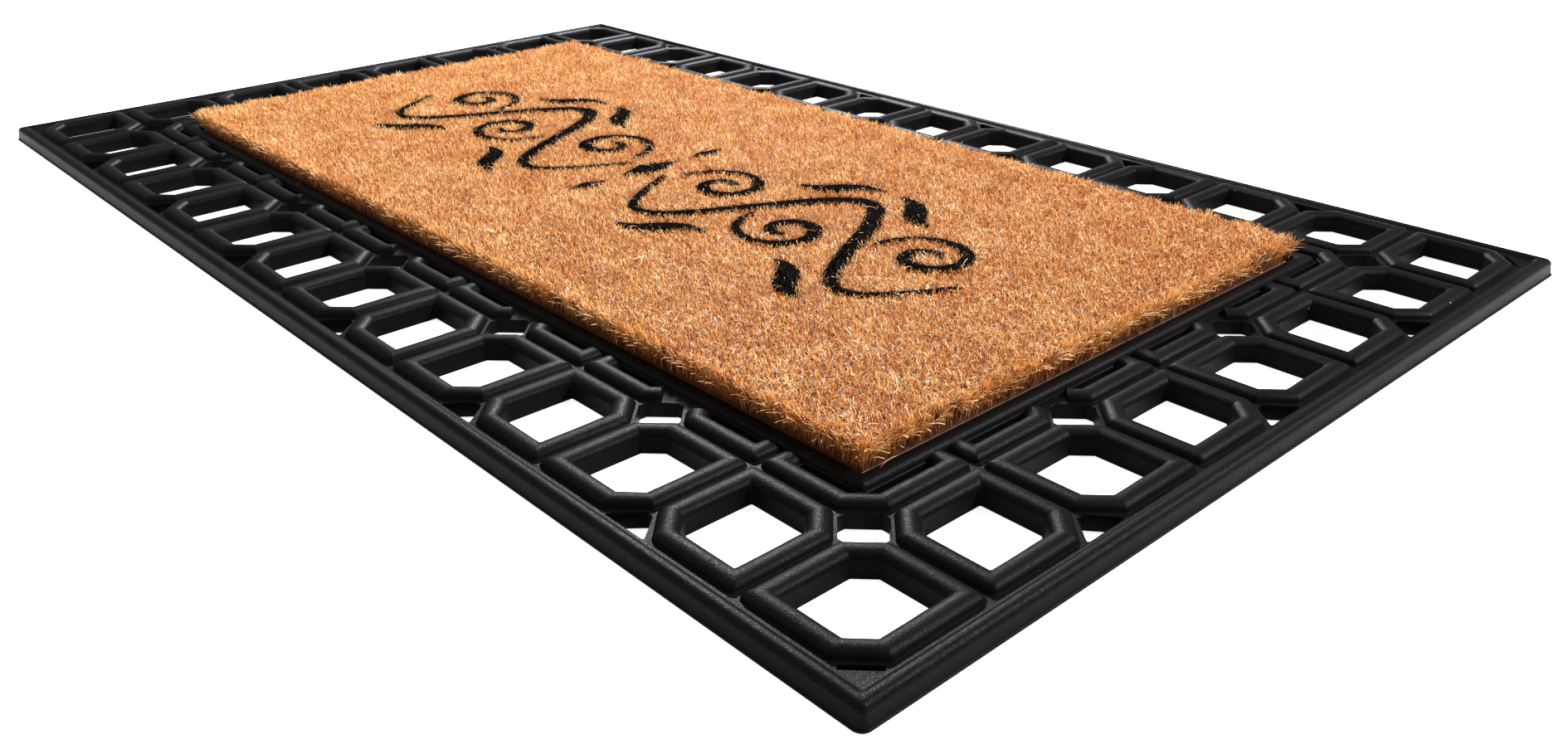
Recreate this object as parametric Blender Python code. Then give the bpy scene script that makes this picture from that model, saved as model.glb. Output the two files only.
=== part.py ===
"""Door mat: a moulded rubber frame with an open lattice border, holding a bonded coir insert.

Metres, +Z up. X runs along the mat's length and Y across it. The origin is the centre of the
underside, on the surface that the mat lies on. The front edge is the long edge at -Y.

Layers from the ground up: rubber tray floor, adhesive, vinyl backing, natural coir pile. The black
ornament is dyed coir, set piece by piece into grooves in the top of the natural pile.
"""
import math

import bmesh
import bpy
from mathutils import Matrix, Vector

# Overall size, and the lattice that divides it.
MAT_LENGTH = 0.991
MAT_WIDTH = 0.610
COLUMNS = 14
ROWS = 8

# Rim: the solid bead round the outside. Its reach is from the outermost lattice line to the edge.
RIM_REACH = 0.0125
RIM_HEIGHT = 0.0105
RIM_CORNER_RADIUS = 0.005
RIM_INNER_RADIUS = 0.002
RIM_FOOT_GAP = 0.0014
SIDE_WALL_HEIGHT = 0.0066
SIDE_WALL_SLOPE = 0.0007
CROWN_SHOULDER = 0.0026
CROWN_WIDTH = 0.0032
LIP_HEIGHT = 0.0012
LIP_REACH = 0.0009

# Lattice ribs: each cell has a raised rib of its own, a little inside the lattice lines.
WEB_HEIGHT = 0.0080
RIB_RISE = 0.0040
RIB_WIDTH = 0.0116
GROOVE_WIDTH = 0.0028
RIB_FLANK = 0.0028
CORNER_CUT = 0.0165
HOLE_DRAFT = 0.0007

# Openings where four cut corners meet, and the half openings along the rim.
DIAMOND_MARGIN = 0.0018
DIAMOND_TIP_CUT = 0.0022
DIAMOND_DRAFT = 0.0003
RIM_OPENING_START = -0.0004
CORNER_RECESS_FLOOR = 0.0060
CORNER_RECESS_WIDTH = 0.0030

# Border rib round the insert, the pockets behind the cut-off cells, and the tray.
BORDER_WIDTH = 0.0104
POCKET_WIDTH = 0.0062
RETURN_GAP_LONG_SIDE = 0.0020
RETURN_GAP_SHORT_SIDE = 0.0006
POCKET_MARGIN = 0.0004
POCKET_DRAFT = 0.0004
POCKET_FLOOR = 0.0040
TRAY_FLOOR = 0.0030

# Insert: bonded into the tray, standing well above the ribs.
CLEARANCE = 0.0003
ADHESIVE_THICKNESS = 0.0007
ADHESIVE_EDGE = 0.0060
BACKING_THICKNESS = 0.0030
PILE_HEIGHT = 0.0169
PILE_EDGE_ROUND = 0.0024

# Ornament of dyed coir: a wave on each side, with curls in its bends and leaves on its crests.
INLAY_DEPTH = 0.0080
ORNAMENT_SHIFT_Y = -0.012
WAVE_LENGTH = 0.186
WAVE_HEIGHT = 0.060
WAVE_START = 0.020
WAVE_COUNT = 1.48
WAVE_STROKE = (0.0120, 0.0040)
STROKE_TAPER = 1.6
CURL_OUTER_RADIUS = 0.038
CURL_INNER_RADIUS = 0.008
CURL_TURNS = 1.4
CURL_STROKE = (0.0100, 0.0040)
CURL_OFFSET = 0.014
CURL_START = 10.0
LEAF_LENGTH = 0.062
LEAF_STROKE = (0.0155, 0.0016)
LEAF_BEND = 0.0042
LEAF_TILT = 30.0
LEAF_REACH = 0.034
LEAF_HEIGHT = 0.069
LOZENGE_LENGTH = 0.052
LOZENGE_WIDTH = 0.022
DROP_LENGTH = 0.032
DROP_WIDTH = 0.012
DROP_GAP = 0.012

# Values that follow from the ones above.
PITCH_X = (MAT_LENGTH - 2 * RIM_REACH) / COLUMNS
PITCH_Y = (MAT_WIDTH - 2 * RIM_REACH) / ROWS
RIB_FOOT = GROOVE_WIDTH / 2
RIB_INSET = RIB_FOOT + RIB_WIDTH / 2
DIAMOND_REACH = CORNER_CUT / math.sqrt(2) + RIB_FOOT - DIAMOND_MARGIN
BORDER_INSET = RIB_FOOT + RIB_WIDTH + POCKET_WIDTH + BORDER_WIDTH / 2
BORDER_X = (COLUMNS / 2 - 1) * PITCH_X - BORDER_INSET
BORDER_Y = (ROWS / 2 - 1) * PITCH_Y - BORDER_INSET
INSERT_X = BORDER_X - BORDER_WIDTH / 2 - CLEARANCE
INSERT_Y = BORDER_Y - BORDER_WIDTH / 2 - CLEARANCE
ADHESIVE_BOTTOM = TRAY_FLOOR + CLEARANCE
BACKING_BOTTOM = ADHESIVE_BOTTOM + ADHESIVE_THICKNESS + CLEARANCE
PILE_BOTTOM = BACKING_BOTTOM + BACKING_THICKNESS + CLEARANCE
PILE_TOP = PILE_BOTTOM + PILE_HEIGHT

# A wall that is meant to be upright leans by this much, so that an inset can make it.
UPRIGHT = 0.00002

# How finely curved lines are divided, how closely two points count as one, and the share of its
# length by which a rib has to run sideways to count as a slanted one.
WAVE_STATIONS = 30
CURL_STATIONS = 22
LEAF_STATIONS = 10
CORNER_SEGMENTS = 4
HALVINGS = 40
SLANT = 0.1
TOUCHING = 0.0000001
LEVEL = 0.000001
SLIVER_AREA = 0.000000000001

COLOURS = {
    "rubber": ((0.012, 0.012, 0.013), 0.45),
    "adhesive": ((0.45, 0.33, 0.16), 0.35),
    "vinyl": ((0.33, 0.24, 0.15), 0.60),
    "natural_coir": ((0.55, 0.28, 0.09), 0.95),
    "black_coir": ((0.010, 0.009, 0.008), 0.95),
}


def clear_scene():
    for found in list(bpy.data.objects):
        bpy.data.objects.remove(found, do_unlink=True)


def make_material(name):
    colour, roughness = COLOURS[name]
    material = bpy.data.materials.new(name)
    material.use_nodes = True
    shader = material.node_tree.nodes["Principled BSDF"]
    shader.inputs["Base Color"].default_value = (*colour, 1.0)
    shader.inputs["Roughness"].default_value = roughness
    shader.inputs["Metallic"].default_value = 0.0
    return material


def add_object(name, bm, material):
    bmesh.ops.recalc_face_normals(bm, faces=bm.faces)
    mesh = bpy.data.meshes.new(name)
    bm.to_mesh(mesh)
    bm.free()
    mesh.materials.append(material)
    made = bpy.data.objects.new(name, mesh)
    bpy.context.collection.objects.link(made)
    return made


# ---- Outlines: lists of 2-D points, counter-clockwise where they are closed ----

def offset_outline(points, distance):
    """The outline moved outwards by distance, with mitred corners."""
    moved = []
    for index, point in enumerate(points):
        before = (point - points[index - 1]).normalized()
        after = (points[(index + 1) % len(points)] - point).normalized()
        out_before = Vector((before.y, -before.x))
        out_after = Vector((after.y, -after.x))
        mitre = (out_before + out_after).normalized()
        moved.append(point + mitre * (distance / mitre.dot(out_after)))
    return moved


def rectangle(half_x, half_y):
    return [Vector((x * half_x, y * half_y)) for x, y in ((-1, -1), (1, -1), (1, 1), (-1, 1))]


def rounded_rectangle(half_x, half_y, radius):
    points = []
    for quarter, corner in enumerate(rectangle(half_x - radius, half_y - radius)):
        for step in range(CORNER_SEGMENTS + 1):
            angle = math.pi * (1 + quarter / 2 + step / (2 * CORNER_SEGMENTS))
            points.append(corner + radius * Vector((math.cos(angle), math.sin(angle))))
    return points


def band_outline(path, half_widths):
    """The outline of a band that follows an open path, with square ends."""
    left, right = [], []
    for index, point in enumerate(path):
        before = path[max(index - 1, 0)]
        after = path[min(index + 1, len(path) - 1)]
        into = (point - before).normalized() if index else (after - point).normalized()
        out_of = (after - point).normalized() if index < len(path) - 1 else into
        side = Vector((-into.y - out_of.y, into.x + out_of.x)).normalized()
        reach = half_widths[index] / side.dot(Vector((-into.y, into.x)))
        left.append(point + side * reach)
        right.append(point - side * reach)
    return right + left[::-1]


def is_cut(column, row):
    """Cells lose the corners that lie on every second lattice crossing."""
    return (column + row) % 2 == 0


def crossing(column, row):
    return Vector(((column - COLUMNS / 2) * PITCH_X, (row - ROWS / 2) * PITCH_Y))


def cell_outline(column, row, inset):
    """A cell's outline, moved inwards from the lattice lines, with its two cut corners."""
    leg = CORNER_CUT - (2 - math.sqrt(2)) * inset
    points = []
    for right, up in ((0, 0), (1, 0), (1, 1), (0, 1)):
        inward = Vector((1 - 2 * right, 1 - 2 * up))
        corner = crossing(column + right, row + up) + inward * inset
        if is_cut(column + right, row + up):
            along_x = corner + Vector((inward.x * leg, 0))
            along_y = corner + Vector((0, inward.y * leg))
            points += [along_x, along_y] if right != up else [along_y, along_x]
        else:
            points.append(corner)
    return points


def outside_part(outline, half_x, half_y):
    """The stretch of a closed outline that lies outside a centred rectangle, cut at its sides."""
    def is_inside(point):
        return abs(point.x) < half_x and abs(point.y) < half_y

    def cut(inner, outer):
        low, high = 0.0, 1.0
        for _ in range(HALVINGS):
            middle = (low + high) / 2
            if is_inside(inner.lerp(outer, middle)):
                low = middle
            else:
                high = middle
        return inner.lerp(outer, high)

    turned = list(outline)
    while not is_inside(turned[0]) or is_inside(turned[1]):
        turned.append(turned.pop(0))
    outer = [point for point in turned if not is_inside(point)]
    following = turned[(len(outer) + 1) % len(turned)]
    return [cut(turned[0], outer[0]), *outer, cut(following, outer[-1])]


# ---- Mesh steps ----

def add_face(bm, outline, height):
    return bm.faces.new([bm.verts.new((point.x, point.y, height)) for point in outline])


def step_face(bm, face, inset, rise):
    """Shrinks a face by inset while it moves up by rise, leaving a wall behind it."""
    face.normal_update()
    bmesh.ops.inset_individual(bm, faces=[face], thickness=inset, depth=rise, use_even_offset=True)


def open_bottom(bm, face):
    bmesh.ops.delete(bm, geom=[face], context="FACES_ONLY")


def fill_level(bm, height):
    """Fills the flat area between all the open outlines at one height."""
    edges = [edge for edge in bm.edges
             if edge.is_boundary and all(abs(corner.co.z - height) < LEVEL for corner in edge.verts)]
    bmesh.ops.triangle_fill(bm, edges=edges, use_beauty=True, normal=(0, 0, 1))
    slivers = [face for face in bm.faces if face.calc_area() < SLIVER_AREA]
    bmesh.ops.delete(bm, geom=slivers, context="FACES")


def add_prism(bm, outline, bottom, top):
    face = add_face(bm, outline, bottom)
    raised = bmesh.ops.extrude_face_region(bm, geom=[face])["geom"]
    corners = [part for part in raised if isinstance(part, bmesh.types.BMVert)]
    bmesh.ops.translate(bm, verts=corners, vec=(0, 0, top - bottom))


# ---- Rubber frame ----

def add_rim(bm):
    """The outer bead, as loops from the ground up and over to the web."""
    wall_top = LIP_REACH + SIDE_WALL_SLOPE
    crown_start = wall_top + CROWN_SHOULDER
    profile = [
        (0.0, 0.0),
        (0.0, LIP_HEIGHT),
        (LIP_REACH, LIP_HEIGHT + LIP_REACH / 2),
        (wall_top, SIDE_WALL_HEIGHT),
        (crown_start, RIM_HEIGHT),
        (crown_start + CROWN_WIDTH, RIM_HEIGHT),
        (RIM_REACH - RIM_FOOT_GAP, WEB_HEIGHT),
    ]
    last = None
    for inset, height in profile:
        radius = max(RIM_CORNER_RADIUS - inset, RIM_INNER_RADIUS)
        outline = rounded_rectangle(MAT_LENGTH / 2 - inset, MAT_WIDTH / 2 - inset, radius)
        corners = [bm.verts.new((point.x, point.y, height)) for point in outline]
        for index in range(len(corners) if last else 0):
            bm.faces.new((last[index - 1], last[index], corners[index], corners[index - 1]))
        last = corners


def add_open_cell(bm, column, row):
    """A ring rib round a hole that goes right through."""
    face = add_face(bm, cell_outline(column, row, RIB_FOOT), WEB_HEIGHT)
    step_face(bm, face, RIB_FLANK, RIB_RISE)
    step_face(bm, face, RIB_WIDTH - 2 * RIB_FLANK, 0.0)
    step_face(bm, face, RIB_FLANK, -RIB_RISE)
    step_face(bm, face, HOLE_DRAFT, -WEB_HEIGHT)
    open_bottom(bm, face)


def diamond_outline(centre):
    """A square turned by 45 degrees, with its four tips cut off."""
    reach = DIAMOND_REACH * math.sqrt(2) - DIAMOND_TIP_CUT
    tip = DIAMOND_TIP_CUT
    points = [(-tip, -reach), (tip, -reach), (reach, -tip), (reach, tip)]
    points += [(tip, reach), (-tip, reach), (-reach, tip), (-reach, -tip)]
    return [centre + Vector(point) for point in points]


def half_diamond_outline(centre, inward):
    """The part of a diamond that is left inside the rim, on the side that inward points to."""
    across = Vector((-inward.y, inward.x))
    reach = DIAMOND_REACH * math.sqrt(2) - DIAMOND_TIP_CUT
    tip = DIAMOND_TIP_CUT
    base = reach - RIM_OPENING_START
    points = [(base, RIM_OPENING_START), (tip, reach), (-tip, reach), (-base, RIM_OPENING_START)]
    outline = [centre + across * x + inward * y for x, y in points]
    turn = (outline[1] - outline[0]).cross(outline[2] - outline[1])
    return outline if turn > 0 else outline[::-1]


def add_through_hole(bm, outline):
    face = add_face(bm, outline, WEB_HEIGHT)
    step_face(bm, face, DIAMOND_DRAFT, -WEB_HEIGHT)
    open_bottom(bm, face)


def add_corner_recess(bm, column, row):
    """The shallow slot between a mat corner and the cut corner of the cell beside it."""
    centre = crossing(column, row)
    inward = Vector((1 if column == 0 else -1, 1 if row == 0 else -1)).normalized()
    across = Vector((-inward.y, inward.x))
    near = DIAMOND_REACH - CORNER_RECESS_WIDTH
    half = near - RIM_OPENING_START * math.sqrt(2)
    points = [(half, near), (DIAMOND_REACH - DIAMOND_TIP_CUT, DIAMOND_REACH)]
    points += [(-x, y) for x, y in reversed(points)]
    face = add_face(bm, [centre + across * x + inward * y for x, y in points][::-1], WEB_HEIGHT)
    face.normal_update()
    if face.normal.z < 0:
        face.normal_flip()
    step_face(bm, face, DIAMOND_DRAFT, CORNER_RECESS_FLOOR - WEB_HEIGHT)


def pocket_outlines(column, row, edge_x, edge_y):
    """The pocket between a cut-off cell's rib and the border, or two where the border's corner parts it."""
    behind = RIB_INSET + RIB_WIDTH / 2 + POCKET_MARGIN
    outline = cell_outline(column, row, behind)
    pocket = outside_part(outline, edge_x, edge_y)
    if column not in (1, COLUMNS - 2) or row not in (1, ROWS - 2):
        return [pocket]
    leg = CORNER_CUT - (2 - math.sqrt(2)) * behind
    room = 2 * (POCKET_WIDTH - 2 * POCKET_MARGIN) - leg
    if room > POCKET_MARGIN:
        corner = Vector((math.copysign(edge_x, pocket[0].x), math.copysign(edge_y, pocket[0].y)))
        return [pocket + [corner]]
    beside_x = outside_part(outline, edge_x, MAT_WIDTH)
    for point in beside_x:
        point.y = math.copysign(min(abs(point.y), edge_y - POCKET_MARGIN), point.y)
    beside_y = outside_part(outline, MAT_LENGTH, edge_y)
    for point in beside_y:
        point.x = math.copysign(min(abs(point.x), edge_x - POCKET_MARGIN), point.x)
    return [beside_x, beside_y]


def add_closed_cell(bm, column, row):
    """A cell that the border cuts off: part of a ring rib, and a blind pocket behind it."""
    foot_x = BORDER_X + BORDER_WIDTH / 2
    foot_y = BORDER_Y + BORDER_WIDTH / 2
    gap_x, gap_y = foot_x + RETURN_GAP_SHORT_SIDE, foot_y + RETURN_GAP_LONG_SIDE
    path = outside_part(cell_outline(column, row, RIB_INSET), gap_x, gap_y)
    for end, inner in ((0, 1), (-1, -2)):
        run = path[end] - path[inner]
        is_slanted = min(abs(run.x), abs(run.y)) > SLANT * run.length
        if is_slanted:
            path[end] -= run.normalized() * RIB_WIDTH / 2
    outline = band_outline(path, [RIB_WIDTH / 2] * len(path))
    step_face(bm, add_face(bm, outline, WEB_HEIGHT), RIB_FLANK, RIB_RISE)

    for pocket in pocket_outlines(column, row, foot_x + POCKET_MARGIN, foot_y + POCKET_MARGIN):
        step_face(bm, add_face(bm, pocket, WEB_HEIGHT), POCKET_DRAFT, POCKET_FLOOR - WEB_HEIGHT)


def add_border_and_tray(bm):
    """The rib round the insert, and the tray floor inside it."""
    outline = rectangle(BORDER_X + BORDER_WIDTH / 2, BORDER_Y + BORDER_WIDTH / 2)
    face = add_face(bm, outline, WEB_HEIGHT)
    step_face(bm, face, RIB_FLANK, RIB_RISE)
    step_face(bm, face, BORDER_WIDTH - 2 * RIB_FLANK, 0.0)
    step_face(bm, face, RIB_FLANK - UPRIGHT, -RIB_RISE)
    step_face(bm, face, UPRIGHT, TRAY_FLOOR - WEB_HEIGHT)


def make_rubber_frame(material):
    bm = bmesh.new()
    add_rim(bm)
    for column in range(COLUMNS):
        for row in range(ROWS):
            ring = min(column, row, COLUMNS - 1 - column, ROWS - 1 - row)
            if ring == 0:
                add_open_cell(bm, column, row)
            elif ring == 1:
                add_closed_cell(bm, column, row)
    for column in range(COLUMNS + 1):
        for row in range(ROWS + 1):
            ring = min(column, row, COLUMNS - column, ROWS - row)
            if not is_cut(column, row) or ring > 1:
                continue
            inward = Vector(((column == 0) - (column == COLUMNS), (row == 0) - (row == ROWS)))
            if ring == 1:
                add_through_hole(bm, diamond_outline(crossing(column, row)))
            elif inward.x and inward.y:
                add_corner_recess(bm, column, row)
            else:
                add_through_hole(bm, half_diamond_outline(crossing(column, row), inward))
    add_border_and_tray(bm)
    fill_level(bm, WEB_HEIGHT)
    fill_level(bm, 0.0)
    return add_object("rubber_frame", bm, material)


# ---- Ornament strokes: name, then outline, about the mat's centre ----

def stroke_outline(centre_line, stations, stroke):
    """A stroke that is thick in the middle and thin at both ends."""
    thick, thin = stroke
    shares = [index / (stations - 1) for index in range(stations)]
    half_widths = [(thin + (thick - thin) * (1 - abs(2 * t - 1) ** STROKE_TAPER)) / 2 for t in shares]
    return band_outline([centre_line(t) for t in shares], half_widths)


def wave_line(t):
    along = WAVE_LENGTH * WAVE_COUNT * t
    return Vector((WAVE_START + along, -WAVE_HEIGHT * math.sin(2 * math.pi * along / WAVE_LENGTH)))


def bend_centre(bend):
    """The middle of the wave's bend of this number, counted from the mat's centre."""
    return Vector((WAVE_START + WAVE_LENGTH * (bend + 0.5) / 2, 0))


def curl_line(bend):
    side = 1 if bend % 2 == 0 else -1
    centre = bend_centre(bend) + Vector((0, CURL_OFFSET * side))

    def line(t):
        radius = CURL_OUTER_RADIUS * (CURL_INNER_RADIUS / CURL_OUTER_RADIUS) ** t
        angle = math.pi + side * (math.radians(CURL_START) - 2 * math.pi * CURL_TURNS * t)
        return centre + radius * Vector((math.cos(angle), math.sin(angle)))
    return line


def leaf_line(bend, direction):
    side = -1 if bend % 2 == 0 else 1
    centre = bend_centre(bend) + Vector((LEAF_REACH * direction, LEAF_HEIGHT * side))
    turn = Matrix.Rotation(-math.radians(LEAF_TILT) * side, 2)

    def line(t):
        local = Vector((LEAF_LENGTH * (t - 0.5), LEAF_BEND * side * math.sin(2 * math.pi * t)))
        spot = turn @ local
        return centre + Vector((spot.x * direction, spot.y))
    return line


def kite_outline(centre_y, length, width):
    return [Vector((0, centre_y - length / 2)), Vector((width / 2, centre_y)),
            Vector((0, centre_y + length / 2)), Vector((-width / 2, centre_y))]


def mirrored(outline):
    return [Vector((-point.x, point.y)) for point in reversed(outline)]


def ornament_outlines():
    one_side = {"wave": stroke_outline(wave_line, WAVE_STATIONS, WAVE_STROKE)}
    for bend, letter in enumerate(("inner", "middle", "outer")):
        one_side[f"curl_{letter}"] = stroke_outline(curl_line(bend), CURL_STATIONS, CURL_STROKE)
    leaf_places = ((0, 1, "inner"), (1, -1, "middle_near"), (1, 1, "middle_far"), (2, -1, "outer"))
    for bend, direction, place in leaf_places:
        line = leaf_line(bend, direction)
        one_side[f"leaf_{place}"] = stroke_outline(line, LEAF_STATIONS, LEAF_STROKE)
    found = {}
    for name, outline in one_side.items():
        found[f"{name}_right"] = outline
        found[f"{name}_left"] = mirrored(outline)
    drop_centre = (LOZENGE_LENGTH + DROP_LENGTH) / 2 + DROP_GAP
    found["lozenge"] = kite_outline(0, LOZENGE_LENGTH, LOZENGE_WIDTH)
    found["drop_back"] = kite_outline(drop_centre, DROP_LENGTH, DROP_WIDTH)
    found["drop_front"] = kite_outline(-drop_centre, DROP_LENGTH, DROP_WIDTH)
    shift = Vector((0, ORNAMENT_SHIFT_Y))
    return {name: counter_clockwise([p + shift for p in outline]) for name, outline in found.items()}


def counter_clockwise(outline):
    area = sum(point.cross(outline[index - 1]) for index, point in enumerate(outline))
    return outline if area < 0 else outline[::-1]


# ---- Insert ----

def make_layer(name, half_x, half_y, bottom, thickness, material):
    bm = bmesh.new()
    add_prism(bm, rectangle(half_x, half_y), bottom, bottom + thickness)
    return add_object(name, bm, material)


def make_coir_pile(outlines, material):
    """The natural pile: a block with softened top edges, and a groove for each dyed stroke."""
    bm = bmesh.new()
    face = add_face(bm, rectangle(INSERT_X, INSERT_Y), PILE_BOTTOM)
    face.copy()  # stays behind as the underside
    step_face(bm, face, UPRIGHT, PILE_HEIGHT - PILE_EDGE_ROUND)
    step_face(bm, face, PILE_EDGE_ROUND, PILE_EDGE_ROUND)
    open_bottom(bm, face)
    for outline in outlines.values():
        groove = add_face(bm, offset_outline(outline, CLEARANCE), PILE_TOP)
        step_face(bm, groove, UPRIGHT, -INLAY_DEPTH - CLEARANCE)
    fill_level(bm, PILE_TOP)
    bmesh.ops.remove_doubles(bm, verts=bm.verts, dist=TOUCHING)
    return add_object("coir_pile", bm, material)


def make_inlay(name, outline, material):
    bm = bmesh.new()
    add_prism(bm, outline, PILE_TOP - INLAY_DEPTH, PILE_TOP)
    return add_object(f"inlay_{name}", bm, material)


def build():
    clear_scene()
    finishes = {name: make_material(name) for name in COLOURS}
    outlines = ornament_outlines()
    make_rubber_frame(finishes["rubber"])
    make_layer("adhesive_layer", INSERT_X - ADHESIVE_EDGE, INSERT_Y - ADHESIVE_EDGE,
               ADHESIVE_BOTTOM, ADHESIVE_THICKNESS, finishes["adhesive"])
    make_layer("vinyl_backing", INSERT_X, INSERT_Y,
               BACKING_BOTTOM, BACKING_THICKNESS, finishes["vinyl"])
    make_coir_pile(outlines, finishes["natural_coir"])
    for name, outline in outlines.items():
        make_inlay(name, outline, finishes["black_coir"])


build()
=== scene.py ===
"""Door mat: a moulded rubber frame with an open lattice border, and a coir insert bonded into it.

Metres, +Z up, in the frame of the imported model. X runs along the mat's length and Y across it.
The sections follow the mat as it is put together: frame, adhesive, backing, pile, dyed ornament.
"""
import math

import bmesh
import bpy
import numpy as np
from mathutils import Matrix, Vector, noise
from mathutils.bvhtree import BVHTree


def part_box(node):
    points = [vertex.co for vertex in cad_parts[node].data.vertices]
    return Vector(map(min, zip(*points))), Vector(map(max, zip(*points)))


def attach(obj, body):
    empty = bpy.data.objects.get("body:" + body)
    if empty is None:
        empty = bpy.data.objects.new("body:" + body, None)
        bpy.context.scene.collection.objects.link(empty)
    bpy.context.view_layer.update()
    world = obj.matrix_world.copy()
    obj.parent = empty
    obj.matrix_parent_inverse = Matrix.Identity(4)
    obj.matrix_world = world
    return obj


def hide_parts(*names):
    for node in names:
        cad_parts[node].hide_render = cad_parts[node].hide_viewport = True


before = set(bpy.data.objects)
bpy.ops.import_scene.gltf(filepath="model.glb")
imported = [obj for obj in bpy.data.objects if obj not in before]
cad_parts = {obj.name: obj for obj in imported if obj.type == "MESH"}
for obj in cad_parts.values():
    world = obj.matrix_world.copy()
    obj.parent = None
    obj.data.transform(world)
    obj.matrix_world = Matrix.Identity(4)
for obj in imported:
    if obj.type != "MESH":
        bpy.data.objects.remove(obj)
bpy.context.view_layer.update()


# ---- Camera ----
# It stands off the mat's front right corner, about 0.3 m up, and looks across to the far left.

camera_lens = bpy.data.cameras.new("camera")
camera_lens.sensor_width = 36.0
camera_lens.lens = 30.18
camera_lens.shift_x = 0.0233
camera = bpy.data.objects.new("camera", camera_lens)
camera.location = (0.7299, -0.5601, 0.3100)
camera.rotation_euler = [math.radians(angle) for angle in (63.56, 0.67, 48.41)]
bpy.context.scene.collection.objects.link(camera)
bpy.context.scene.camera = camera


# ---- Studio ----
# A white matt floor under a pale sky, a large light behind the mat's right side, a small one behind
# its left side that picks out the slanted ribs, and a weak warm one in front.

def srgb(code):
    """An sRGB hex colour as linear red, green, blue and alpha."""
    found = []
    for place in (0, 2, 4):
        share = int(code[place:place + 2], 16) / 255
        found.append(share / 12.92 if share <= 0.04045 else ((share + 0.055) / 1.055) ** 2.4)
    return (*found, 1.0)


def add_node(tree, kind, inputs=None, stops=(), **settings):
    """Adds a shader node. An input is a value, or the output socket that feeds it."""
    node = tree.nodes.new("ShaderNode" + kind)
    for name, value in settings.items():
        setattr(node, name, value)
    for socket, value in (inputs or {}).items():
        if isinstance(value, bpy.types.NodeSocket):
            tree.links.new(value, node.inputs[socket])
        else:
            node.inputs[socket].default_value = value
    for index, (place, colour) in enumerate(stops):
        marks = node.color_ramp.elements
        mark = marks[index] if index < 2 else marks.new(place)
        mark.position = place
        mark.color = srgb(colour)
    return node


def start_material(name, shader_inputs):
    """A new material's node tree and its Principled shader, with its uniform values set."""
    material = bpy.data.materials.new(name)
    material.use_nodes = True
    tree = material.node_tree
    shader = tree.nodes["Principled BSDF"]
    for socket, value in shader_inputs.items():
        shader.inputs[socket].default_value = value
    return material, tree, shader


FLOOR_DROP = 0.0004
bpy.ops.mesh.primitive_plane_add(size=40, location=(0, 0, -FLOOR_DROP))
floor = bpy.context.object
floor.name = "floor"
floor_paint, tree, shader = start_material("matt_white_floor", {
    "Base Color": srgb("f7f6f5"), "Roughness": 0.9,
    "Emission Color": srgb("fffaf5"), "Emission Strength": 0.8})  # keeps shadows on it faint
floor.data.materials.append(floor_paint)

sky = bpy.data.worlds.new("studio")
sky.use_nodes = True
sky.node_tree.nodes["Background"].inputs["Color"].default_value = srgb("f8f6f4")
sky.node_tree.nodes["Background"].inputs["Strength"].default_value = 0.42
bpy.context.scene.world = sky
bpy.context.scene.view_settings.view_transform = "Standard"


def add_light(name, place, size, power, colour):
    lamp = bpy.data.lights.new(name, "AREA")
    lamp.shape = "DISK"
    lamp.size = size
    lamp.energy = power
    lamp.color = srgb(colour)[:3]
    light = bpy.data.objects.new(name, lamp)
    light.location = place
    light.rotation_euler = (-Vector(place)).to_track_quat("-Z", "Y").to_euler()
    bpy.context.scene.collection.objects.link(light)


add_light("key_light", (1.9, 2.2, 2.8), 0.7, 400.0, "f5f5fb")
add_light("back_light", (-1.6, 1.45, 1.5), 0.25, 150.0, "f4f7ff")
add_light("front_light", (-0.9, -1.6, 1.3), 1.2, 16.0, "ffeedd")


# ---- Rubber frame ----
# One compression-moulded piece of black recycled rubber. Each lattice cell has its own half-round
# rib, cut off at every second crossing, and the outer bead and the border rib close it in.

MAT_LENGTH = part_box("rubber_frame")[1].x * 2
MAT_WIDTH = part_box("rubber_frame")[1].y * 2
COLUMNS = 14
ROWS = 8
RIM_REACH = 0.0125
RIM_HEIGHT = 0.0105
RIM_CORNER_RADIUS = 0.005
RIM_INNER_RADIUS = 0.002
RIM_FOOT_GAP = 0.0014
SIDE_WALL_HEIGHT = 0.0066
SIDE_WALL_SLOPE = 0.0007
CROWN_SHOULDER = 0.0040
CROWN_WIDTH = 0.0012
LIP_HEIGHT = 0.0012
LIP_REACH = 0.0009
WEB_HEIGHT = 0.0080
RIB_RISE = 0.0040
RIB_WIDTH = 0.0116
RIB_FOOT = 0.0014
RIB_SEGMENTS = 10
RIB_FULLNESS = 0.95
FOOT_FILLET = 0.0003
OUTER_BEND_RADIUS = 0.0030
INNER_BEND_RADIUS = 0.0009
CORNER_CUT = 0.0165
HOLE_DRAFT = 0.0007
FLASH_HEIGHT = 0.0009
FLASH_REACH = 0.0003
DIAMOND_MARGIN = 0.0018
DIAMOND_TIP_CUT = 0.0022
DIAMOND_DRAFT = 0.0003
RIM_OPENING_START = -0.0004
CORNER_RECESS_FLOOR = 0.0060
CORNER_RECESS_WIDTH = 0.0030
BORDER_WIDTH = 0.0104
POCKET_WIDTH = 0.0062
RETURN_GAP_LONG_SIDE = 0.0020
RETURN_GAP_SHORT_SIDE = 0.0006
END_ROUND = 0.0010
POCKET_MARGIN = 0.0004
POCKET_DRAFT = 0.0004
POCKET_FLOOR = 0.0040
POCKET_RADIUS = 0.0012
TRAY_FLOOR = 0.0030
EDGE_ROUND = 0.00025
NIB_RADIUS = 0.0011
NIB_LENGTH = 0.0044
NIB_HEIGHT = 0.0052
BACK_NIB_X = 0.4389
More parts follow.
